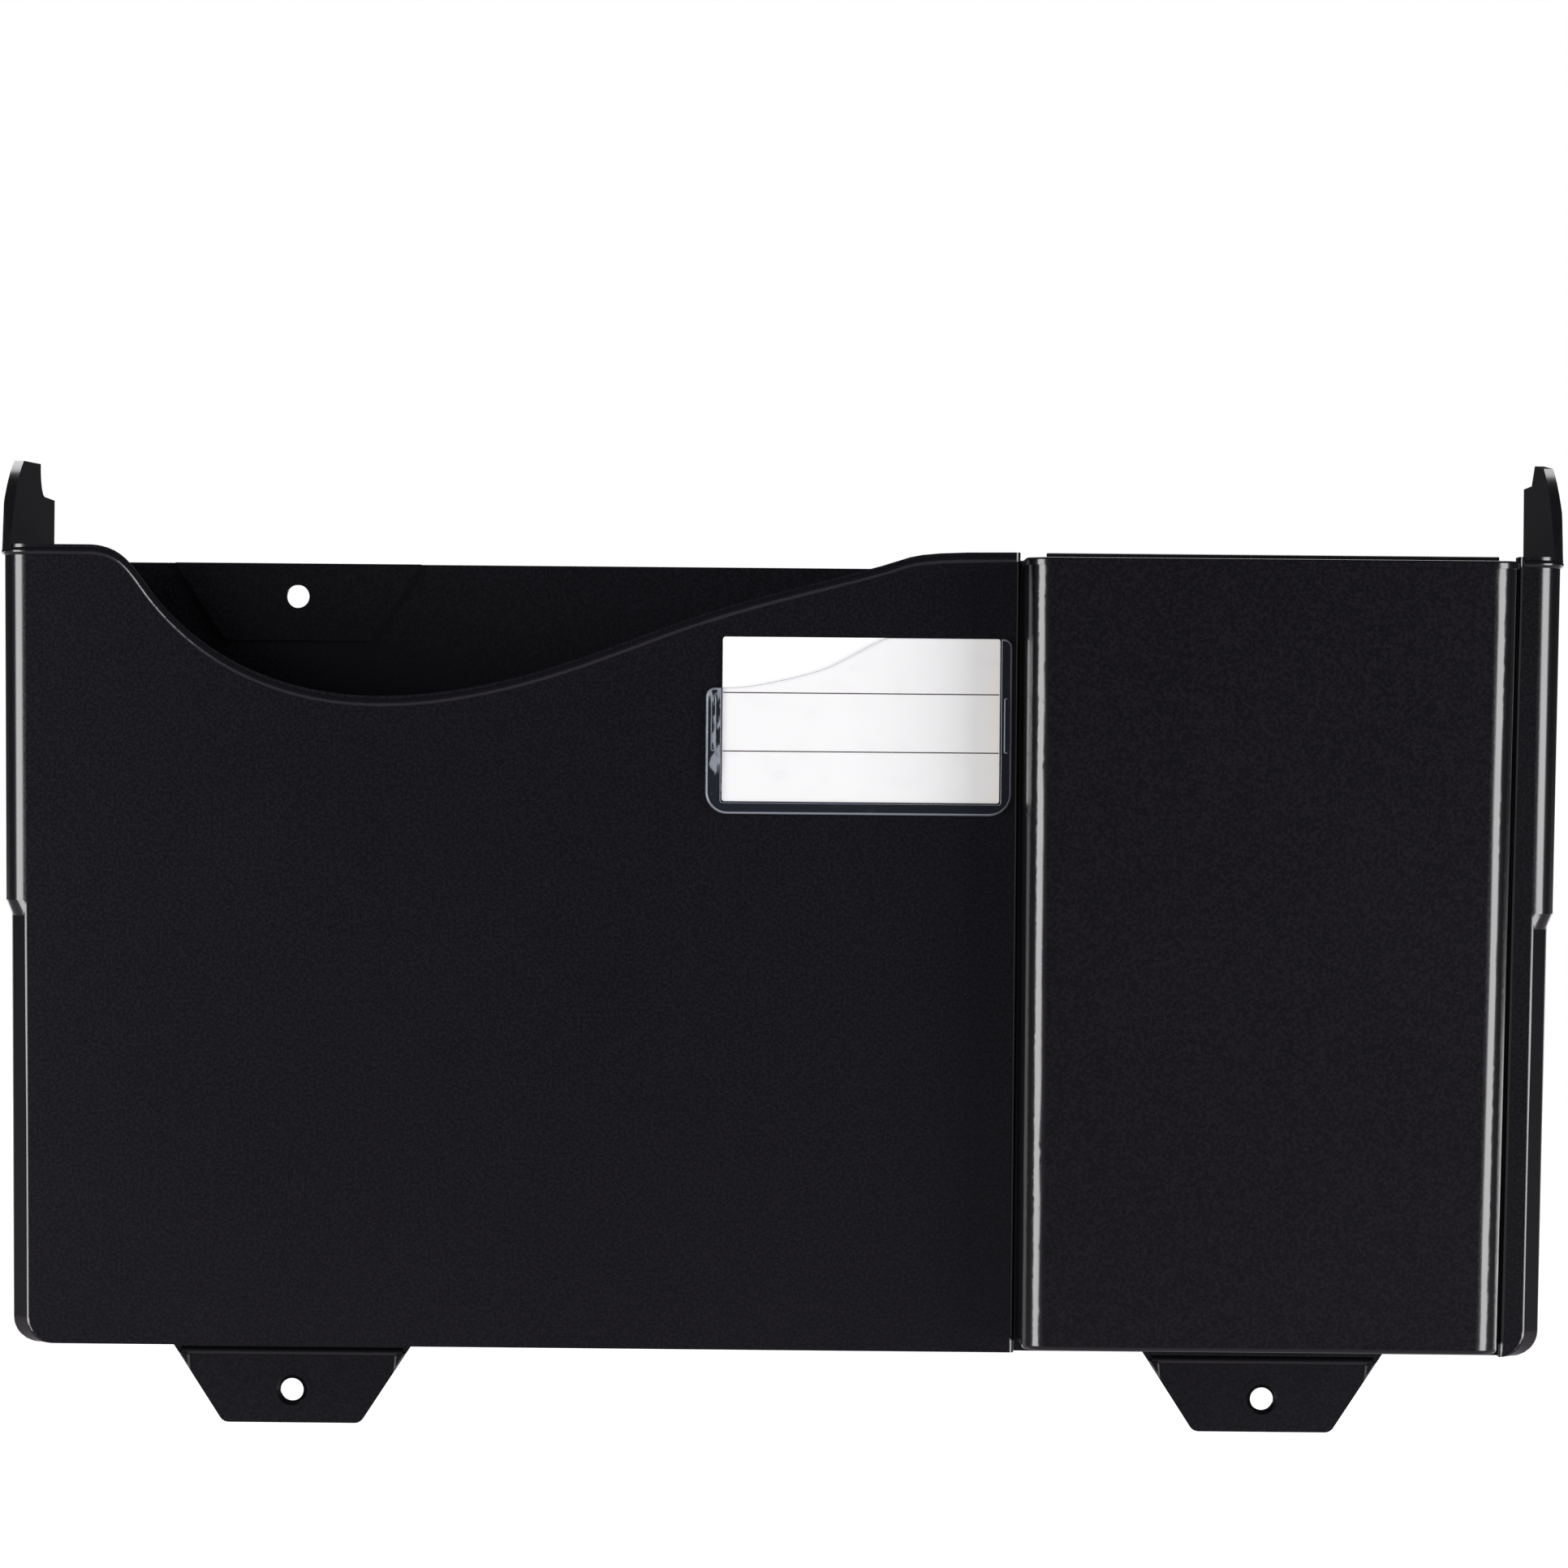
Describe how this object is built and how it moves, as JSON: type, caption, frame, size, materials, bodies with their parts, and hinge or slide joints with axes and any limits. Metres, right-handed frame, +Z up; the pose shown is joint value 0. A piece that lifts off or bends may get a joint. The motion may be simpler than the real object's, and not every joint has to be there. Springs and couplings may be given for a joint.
{
  "type": "hanging file rack",
  "caption": "Wall-hung black file pocket with a scooped front, a lift-off pouch hooked over it, a clear label holder with its card, ears at the rim and screw tabs below.",
  "frame": {"origin": "on the wall plane, midway between the two lower screw holes", "axes": "+Z up, -Y out of the wall towards the viewer, +X along the wall to the viewer's right"},
  "size_m": [0.4244, 0.1207, 0.2755],
  "materials": {
    "pocket_plastic": "fine pebble grain on the flat faces, glossier at the rounded edges",
    "pouch_plastic": "the same grain, a little smoother",
    "clear_plastic": "clear and polished",
    "card_stock": "pale uncoated card with two thin ruled lines"
  },
  "bodies": {
    "pocket": {"file_pocket": "pocket_plastic", "label_holder": "clear_plastic"},
    "pouch_body": {"pouch": "pouch_plastic"},
    "card": {"label_card": "card_stock"}
  },
  "joints": [
    {"name": "pouch_lift", "type": "slide", "parent": "pocket", "child": "pouch_body", "axis": [0, 0, 1], "range_m": [0, 0.02]},
    {"name": "card_slide", "type": "slide", "parent": "pocket", "child": "card", "axis": [0, 0, 1], "range_m": [0, 0.05]}
  ]
}
